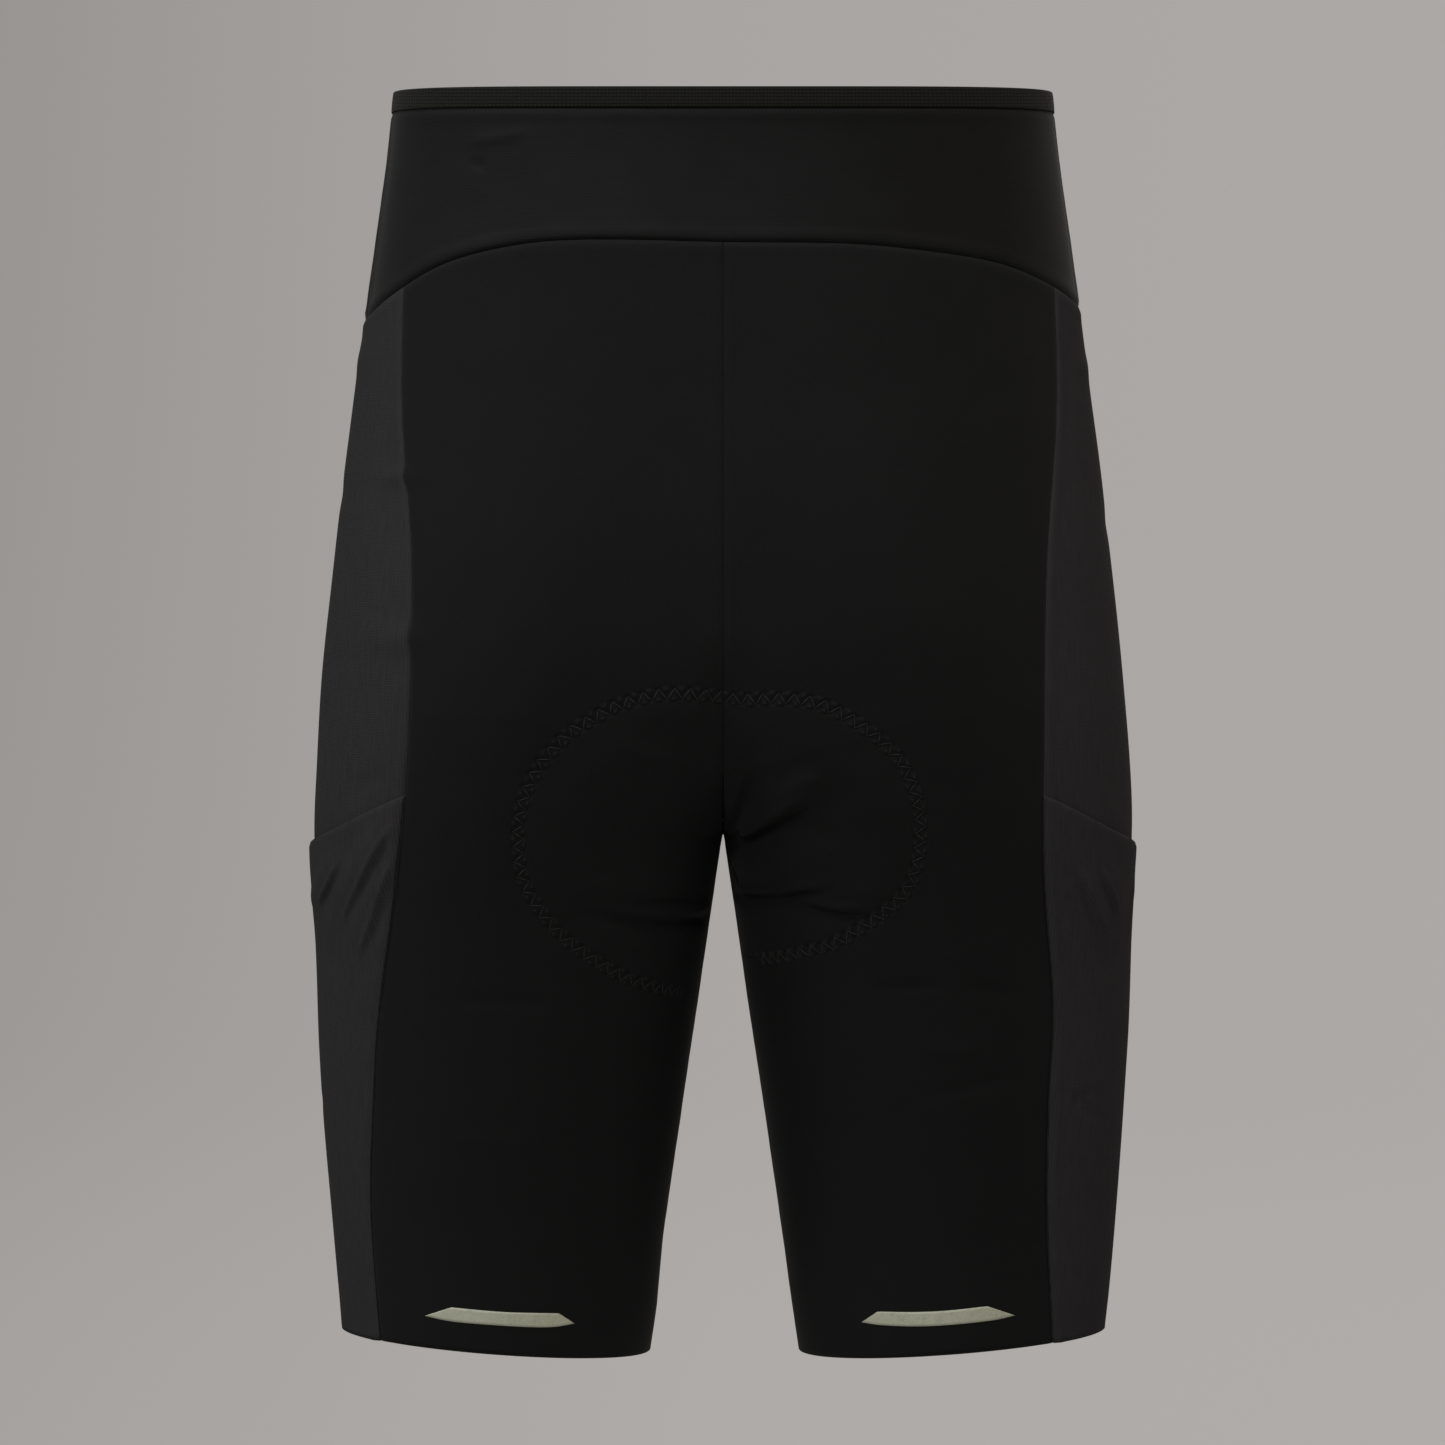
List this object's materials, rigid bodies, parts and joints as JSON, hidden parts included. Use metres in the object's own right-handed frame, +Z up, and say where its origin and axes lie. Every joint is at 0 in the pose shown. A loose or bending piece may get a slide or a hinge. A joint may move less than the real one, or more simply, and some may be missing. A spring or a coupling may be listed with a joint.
{
  "type": "cycling shorts",
  "caption": "Close-fitting cycling shorts in worn form: waistband, back, side and front panels, slanted thigh pockets, hem tabs and a seat pad.",
  "frame": {"origin": "the middle of the waist opening, level with its back edge, where the wearer's waist holds the shorts", "axes": "+Z up, out of the waist opening; +Y towards the wearer's front, so the back faces -Y; +X to the wearer's right"},
  "size_m": [0.3724, 0.2337, 0.566],
  "materials": {
    "binding_elastic": "ribbed matt elastic",
    "waistband_knit": "smooth matt knit",
    "black_knit": "fine matt stretch knit",
    "charcoal_woven": "fine stretch woven cloth",
    "reflective_film": "grey reflective transfer film",
    "pad_fleece": "brushed knit over moulded foam"
  },
  "bodies": {
    "root": {"waist_binding": "binding_elastic", "waistband_back": "waistband_knit", "waistband_front": "waistband_knit", "back_panel_left": "black_knit", "back_panel_right": "black_knit", "front_panel_left": "black_knit", "front_panel_right": "black_knit", "side_panel_left": "charcoal_woven", "side_panel_right": "charcoal_woven", "pocket_left": "charcoal_woven", "pocket_right": "charcoal_woven", "hem_tab_left": "reflective_film", "hem_tab_right": "reflective_film", "seat_pad": "pad_fleece"}
  },
  "joints": []
}
